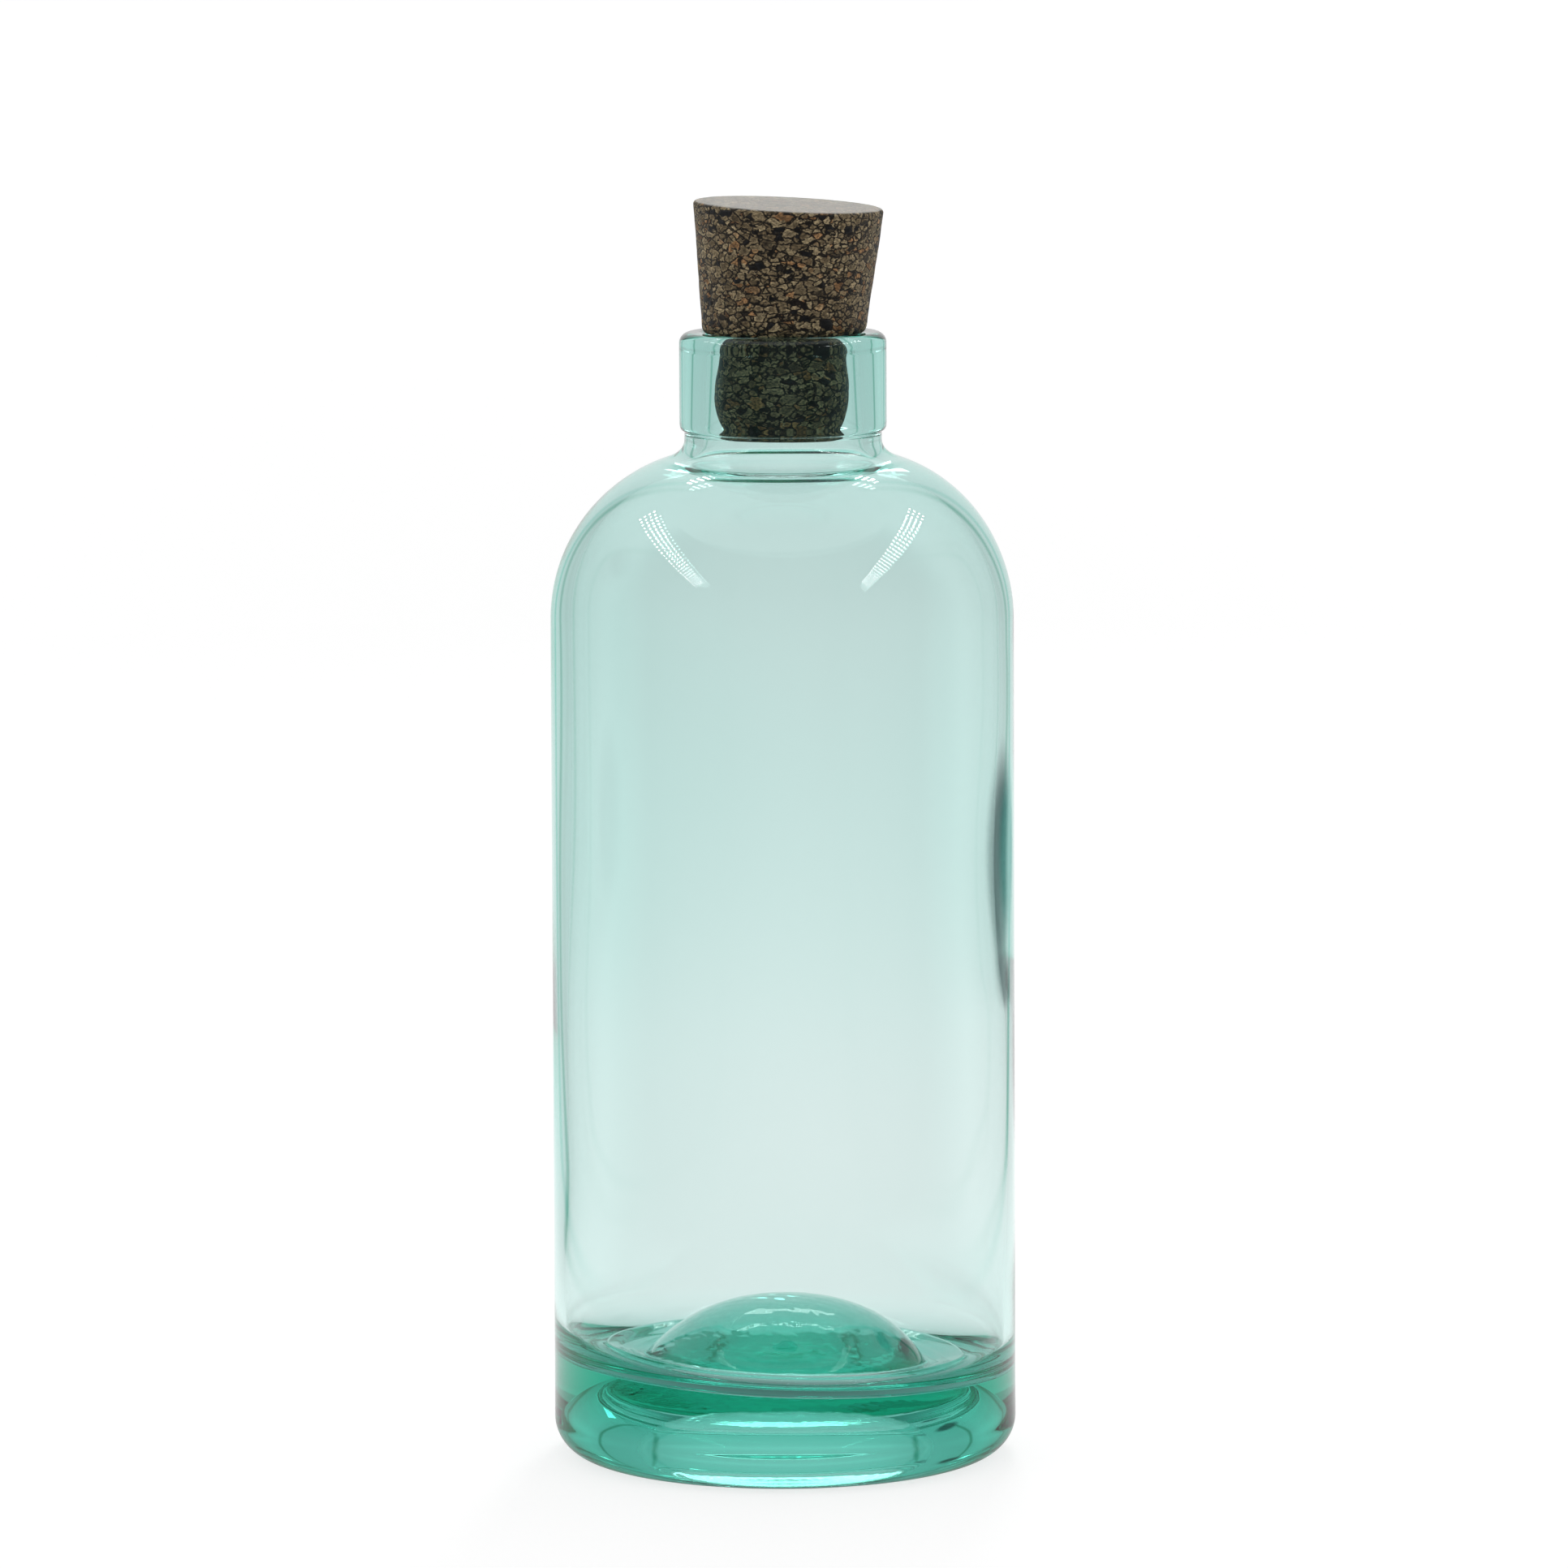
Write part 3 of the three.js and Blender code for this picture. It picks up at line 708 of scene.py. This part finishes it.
def cork_material(f):
    """Pressed cork: coarse and fine granules of many browns, dark ones among them, in a dark binder. The
    upward faces get a pale painted light that stands in for the light the top catches.
    """
    material, tree, shader = new_material("granulated_cork")
    coordinates = tree.nodes.new("ShaderNodeTexCoord")
    stretch = (1 / MM, 1 / MM, f.granule_flatness / MM)
    flat = vector_node(tree, "MULTIPLY", coordinates.outputs["Object"], stretch).outputs["Vector"]
    bend = noise(tree, flat, BEND_SCALE, SOFT_DETAIL).outputs["Color"]
    push = (f.granule_bend, f.granule_bend, f.granule_bend)
    bent = vector_node(tree, "MULTIPLY_ADD", bend, push, flat).outputs["Vector"]
    cells = granule_cells()
    coarse, small = (
        node(tree, "ShaderNodeGroup", {"Vector": bent, "Scale": MM / width}, node_tree=cells)
        for width in (f.coarse_granule, f.fine_granule))
    patch = noise(tree, flat, PATCH_SCALE, SOFT_DETAIL).outputs["Fac"]
    fine = ramped(tree, patch, *FINE_PATCHES, 0.0, 1.0)
    tone, hue, edge = (
        mixed(tree, "FLOAT", fine, coarse.outputs[name], small.outputs[name])
        for name in CELL_VALUES)
    browns = node(tree, "ShaderNodeValToRGB", {"Fac": tone})
    shades = (f.cork_black, f.cork_black, f.cork_dark, f.cork_brown, f.cork_tan)
    while len(browns.color_ramp.elements) < len(shades):
        browns.color_ramp.elements.new(1.0)
    for element, place, shade in zip(browns.color_ramp.elements, TONE_STOPS, shades):
        element.position = place
        element.color = (*shade, 1.0)
    reddish = ramped(tree, hue, *REDDISH_CELLS, 0.0, 1.0)
    coloured = mixed(tree, "RGBA", reddish, browns.outputs["Color"], REDDISH, "MULTIPLY")
    grain = noise(tree, bent, GRAIN_SCALE, GRAIN_DETAIL).outputs["Fac"]
    uneven = ramped(tree, grain, *GRAIN_RANGE, f.grain_low, f.grain_high)
    frayed = math_node(tree, "MULTIPLY_ADD", grain, f.binder_fray, edge)
    inside = ramped(tree, frayed, f.binder_start, f.binder_end, 0.0, 1.0)
    rim_end = f.binder_end + f.rim_width
    rimmed = ramped(tree, frayed, f.binder_end, rim_end, f.rim_light, f.core_light)
    light = math_node(tree, "MULTIPLY", uneven, rimmed)
    textured = node(tree, "ShaderNodeVectorMath", {0: coloured, "Scale": light}, operation="SCALE")
    whole = mixed(tree, "RGBA", inside, (*f.cork_binder, 1.0), textured.outputs["Vector"])
    geometry = tree.nodes.new("ShaderNodeNewGeometry")
    faces = node(tree, "ShaderNodeSeparateXYZ", {"Vector": geometry.outputs["True Normal"]})
    upward = faces.outputs["Z"]
    # Painted light: the upward faces are mixed towards a pale colour, standing in for the light that the top
    # catches from above
    painted_top_light = ramped(tree, upward, *TOP_FACES, 0.0, f.painted_top_share)
    raised = mixed(tree, "FLOAT", GRAIN_RELIEF, inside, grain)
    bump = node(tree, "ShaderNodeBump", {"Distance": f.granule_bump, "Height": raised})
    set_inputs(tree, shader, {
        "Base Color": mixed(tree, "RGBA", painted_top_light, whole, (*f.painted_top_colour, 1.0)),
        "Specular IOR Level": f.cork_specular,
        "Roughness": ramped(tree, upward, *TOP_FACES, f.side_roughness, f.top_roughness),
        "Normal": bump.outputs["Normal"],
    })
    return material


class BOTTLE_OT_cork(bpy.types.Operator):
    """Make the cork stopper"""
    bl_idname = "bottle.cork"
    bl_label = "Cork"

    def execute(self, context):
        c = context.scene.bottle_cork
        points = cork_outline(c)
        x, y, z = revolved(points, CORK_COLUMNS)
        x, y = cork_relief(c, x, y, z)
        x, z = lean_cork(c, x, y, z)
        piece = closed_surface("cork", x, y, z, cork_material(context.scene.bottle_finish))
        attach(piece, "stopper")
        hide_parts("cork_stopper")
        return {"FINISHED"}


# Stage

def glowing_material(name):
    """A material with an empty tree, whose light isn't sampled as a lamp's."""
    material, tree, _ = new_material(name)
    material.cycles.emission_sampling = "NONE"
    tree.nodes.clear()
    return material, tree


def tent_material(t):
    """White to the camera with the object's shadow, even light for matte surfaces, and for glass and gloss a
    bright back with darker sides, two dark seams and a dark front. It is clear from outside."""
    material, tree = glowing_material("tent_cloth")
    path = tree.nodes.new("ShaderNodeLightPath")
    geometry = tree.nodes.new("ShaderNodeNewGeometry")
    coordinates = tree.nodes.new("ShaderNodeTexCoord")
    place = node(tree, "ShaderNodeSeparateXYZ", {"Vector": coordinates.outputs["Object"]}).outputs
    height = ramped(tree, place["Z"], *TENT_FADES, t.tent_low, t.tent_high)
    front = ramped(tree, place["Y"], *FRONT_FADES, t.tent_front, 1.0)
    beside = math_node(tree, "ABSOLUTE", place["X"])
    outer = ramped(tree, beside, t.back_half, t.side_start, 0.0, 1.0)
    upper = ramped(tree, place["Z"], t.side_low, t.side_high, 0.0, 1.0)
    upright = ramped(tree, upper, 0.0, 1.0, t.tent_side_low, t.tent_side)
    side = mixed(tree, "FLOAT", outer, 1.0, upright)
    off_seam = math_node(tree, "ABSOLUTE", math_node(tree, "SUBTRACT", beside, t.seam_place))
    cloth = ramped(tree, off_seam, 0.0, t.seam_width, 0.0, 1.0)
    shade = mixed(tree, "RGBA", cloth, (*t.seam_shade, 1.0), WHITE)
    light = math_node(tree, "MULTIPLY", math_node(tree, "MULTIPLY", height, front), side)
    glow = emission(tree, shade, light)
    even = emission(tree, WHITE, t.tent_even)
    lit = node(tree, "ShaderNodeBsdfDiffuse", {"Color": FLOOR_GREY})
    lift = emission(tree, WHITE, FLOOR_LIFT)
    seen = node(tree, "ShaderNodeAddShader", {0: lit.outputs["BSDF"], 1: lift})
    clear = tree.nodes.new("ShaderNodeBsdfTransparent")
    unseen = shader_mixed(tree, path.outputs["Diffuse Depth"], glow, even)
    inner = shader_mixed(tree, path.outputs["Is Camera Ray"], unseen, seen.outputs["Shader"])
    whole = shader_mixed(tree, geometry.outputs["Backfacing"], inner, clear.outputs["BSDF"])
    node(tree, "ShaderNodeOutputMaterial", {"Surface": whole})
    return material


def tent(t):
    """Floor that curves up into a round wall: an outline carried round Z, facing inwards."""
    low = (t.tent_radius - t.tent_round, t.tent_round)
    points = joined(
        straight((0.0, 0.0), (low[0], 0.0), steps=12),
        ellipse_arc(low, t.tent_round, t.tent_round, start=-90, end=0, steps=16),
        straight((t.tent_radius, t.tent_round), (t.tent_radius, t.tent_height), steps=8),
    )
    x, y, z = revolved(points, TENT_COLUMNS)
    index = np.arange(x.size).reshape(x.shape)
    right = np.roll(index, -1, axis=1)
    quads = np.stack((index[:-1], index[1:], right[1:], right[:-1]), axis=-1).reshape(-1, 4)
    verts = np.stack((x, y, z), axis=-1).reshape(-1, 3)
    piece = new_piece("tent", verts, quads.tolist(), tent_material(t))
    piece.data.shade_smooth()


def off_cell_middle(tree):
    """How far a point is from the middle of its own unit of the UV map."""
    coordinates = tree.nodes.new("ShaderNodeTexCoord")
    within = vector_node(tree, "FRACTION", coordinates.outputs["UV"]).outputs["Vector"]
    return vector_node(tree, "DISTANCE", within, CELL_MIDDLE).outputs["Value"]


def flat_board(name, middle, half_along, half_across, cells, material):
    """One flat face that only glass and gloss show, with so many units of UV along and across."""
    signs = ((-1, -1), (1, -1), (1, 1), (-1, 1))
    corners = [middle + u * half_along + v * half_across for u, v in signs]
    board = new_piece(name, corners, [(0, 1, 2, 3)], material)
    columns, rows = cells
    uv = board.data.uv_layers.new(name="cells")
    uv.data.foreach_set("uv", [0, 0, columns, 0, columns, rows, 0, rows])
    board.visible_camera = False
    board.visible_diffuse = False
    return board


def dark_card(t):
    """A dark upright oval with a soft edge behind on the right, which faces the axis."""
    away = Vector((math.sin(t.card_turn), math.cos(t.card_turn), 0.0))
    half_across = Vector((away.y, -away.x, 0.0)) * t.card_width / 2
    half_rise = Vector((0.0, 0.0, t.card_high - t.card_low)) / 2
    middle = away * t.card_distance + Vector((0.0, 0.0, t.card_low)) + half_rise
    material, tree = glowing_material("card")
    dark = emission(tree, (*t.card_shade, 1.0), 1.0)
    clear = tree.nodes.new("ShaderNodeBsdfTransparent")
    edge = ramped(tree, off_cell_middle(tree), t.card_soft, CARD_EDGE, 0.0, 1.0)
    whole = shader_mixed(tree, edge, dark, clear.outputs["BSDF"])
    node(tree, "ShaderNodeOutputMaterial", {"Surface": whole})
    card = flat_board("dark_card", middle, half_across, half_rise, ONE_CELL, material)
    card.visible_shadow = False


def chips_material(name, chip_light, board_light):
    """Round bright chips, one in each unit of the panel's UV map, on a darker board."""
    material, tree = glowing_material(name)
    light = ramped(tree, off_cell_middle(tree), CHIP_CORE, CHIP_EDGE, chip_light, board_light)
    node(tree, "ShaderNodeOutputMaterial", {"Surface": emission(tree, WHITE, light)})
    return material


def lamp_panel(name, middle, along, size, chips, material, power):
    """A flat board of chips that faces the shoulder, and a soft lamp in its place for what isn't gloss."""
    facing = (LAMP_AIM - middle).normalized()
    across = facing.cross(along).normalized()
    board = flat_board(name, middle, along * size[0] / 2, across * size[1] / 2, chips, material)
    lamp = bpy.data.lights.new(name + "_soft", "AREA")
    lamp.shape = "RECTANGLE"
    lamp.size = size[0]
    lamp.size_y = size[1]
    lamp.energy = power
    holder = bpy.data.objects.new(name + "_soft", lamp)
    turn = Matrix((along, facing.cross(-along), -facing)).transposed()
    holder.matrix_world = Matrix.Translation(middle) @ turn.to_4x4()
    holder.visible_glossy = False
    holder.visible_transmission = False
    bpy.context.scene.collection.objects.link(holder)
    return board


def world():
    """White to camera rays and grey to all others."""
    made = bpy.data.worlds.new("tent_top")
    bpy.context.scene.world = made
    made.use_nodes = True
    tree = made.node_tree
    sky = tree.nodes["Background"]
    sky.inputs["Color"].default_value = SKY_GREY
    white = node(tree, "ShaderNodeBackground", {"Color": WHITE})
    seen = tree.nodes.new("ShaderNodeLightPath").outputs["Is Camera Ray"]
    whole = shader_mixed(tree, seen, sky.outputs["Background"], white.outputs["Background"])
    tree.links.new(whole, tree.nodes["World Output"].inputs["Surface"])


def camera(t):
    """The photograph's camera: a long lens a little above the bottle's middle."""
    data = bpy.data.cameras.new("camera")
    data.sensor_width = SENSOR_WIDTH
    data.lens = t.lens
    data.clip_end = CLIP_END
    holder = bpy.data.objects.new("camera", data)
    holder.location = (0.0, -t.camera_distance, t.camera_height)
    aim = Vector((t.aim_right, 0.0, t.aim_height)) - holder.location
    holder.rotation_mode = "QUATERNION"
    holder.rotation_quaternion = aim.to_track_quat("-Z", "Y") @ Quaternion((0.0, 0.0, 1.0), t.roll)
    bpy.context.scene.collection.objects.link(holder)
    bpy.context.scene.camera = holder


def panels(t):
    """Two side panels that open towards the front, one panel behind and one high up behind."""
    chips = chips_material("side_chips", t.chip_light, t.board_light)
    side = (t.side_length, t.side_width)
    for name, hand in (("left_panel", -1.0), ("right_panel", 1.0)):
        middle = Vector((hand * t.side_place, t.side_middle, t.side_height))
        along = Vector((hand * math.sin(t.side_turn), -math.cos(t.side_turn), 0.0))
        lamp_panel(name, middle, along, side, SIDE_CHIPS, chips, t.side_power)
    right = Vector((1.0, 0.0, 0.0))
    chips = chips_material("back_chips", t.back_light, t.back_light * t.back_board)
    behind = Vector((BACK_PANEL_RIGHT, t.back_place, t.back_height))
    back = (t.back_width, PANEL_DEPTH)
    board = lamp_panel("back_panel", behind, right, back, BACK_CHIPS, chips, t.panel_power)
    board.visible_glossy = False
    chips = chips_material("top_chips", t.top_light, t.top_light * t.top_board)
    above = Vector((0.0, t.top_place, t.top_height))
    top = (t.top_width, PANEL_DEPTH)
    lamp_panel("top_panel", above, right, top, TOP_CHIPS, chips, t.panel_power)


class BOTTLE_OT_stage(bpy.types.Operator):
    """Make the tent, its lamps and the camera"""
    bl_idname = "bottle.stage"
    bl_label = "Stage"

    def execute(self, context):
        t = context.scene.bottle_stage
        world()
        tent(t)
        dark_card(t)
        panels(t)
        camera(t)
        context.scene.view_settings.view_transform = "Standard"
        context.scene.cycles.max_bounces = LIGHT_BOUNCES
        context.scene.cycles.glossy_bounces = LIGHT_BOUNCES
        context.scene.cycles.transmission_bounces = LIGHT_BOUNCES
        return {"FINISHED"}


class BOTTLE_PT_panel(bpy.types.Panel):
    """The operators and the values that they read"""
    bl_label = "Corked glass bottle"
    bl_idname = "BOTTLE_PT_panel"
    bl_space_type = "VIEW_3D"
    bl_region_type = "UI"
    bl_category = "Bottle"

    def draw(self, context):
        for operator in OPERATORS:
            self.layout.operator(operator.bl_idname)
        for slot in GROUPS:
            group = getattr(context.scene, slot)
            for name in group.bl_rna.properties.keys():
                if name not in BUILT_IN:
                    self.layout.prop(group, name)


GROUPS = {
    "bottle_glass": GlassSizes,
    "bottle_cork": CorkSizes,
    "bottle_finish": Finishes,
    "bottle_stage": StageSettings,
}
OPERATORS = (BOTTLE_OT_glass, BOTTLE_OT_cork, BOTTLE_OT_stage)


def register():
    for slot, group in GROUPS.items():
        bpy.utils.register_class(group)
        setattr(bpy.types.Scene, slot, bpy.props.PointerProperty(type=group))
    for operator in OPERATORS:
        bpy.utils.register_class(operator)
    bpy.utils.register_class(BOTTLE_PT_panel)


def unregister():
    bpy.utils.unregister_class(BOTTLE_PT_panel)
    for operator in reversed(OPERATORS):
        bpy.utils.unregister_class(operator)
    for slot, group in GROUPS.items():
        delattr(bpy.types.Scene, slot)
        bpy.utils.unregister_class(group)


def main():
    """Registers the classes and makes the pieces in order."""
    register()
    bpy.ops.bottle.glass()
    bpy.ops.bottle.cork()
    bpy.ops.bottle.stage()


if __name__ == "__main__":
    main()
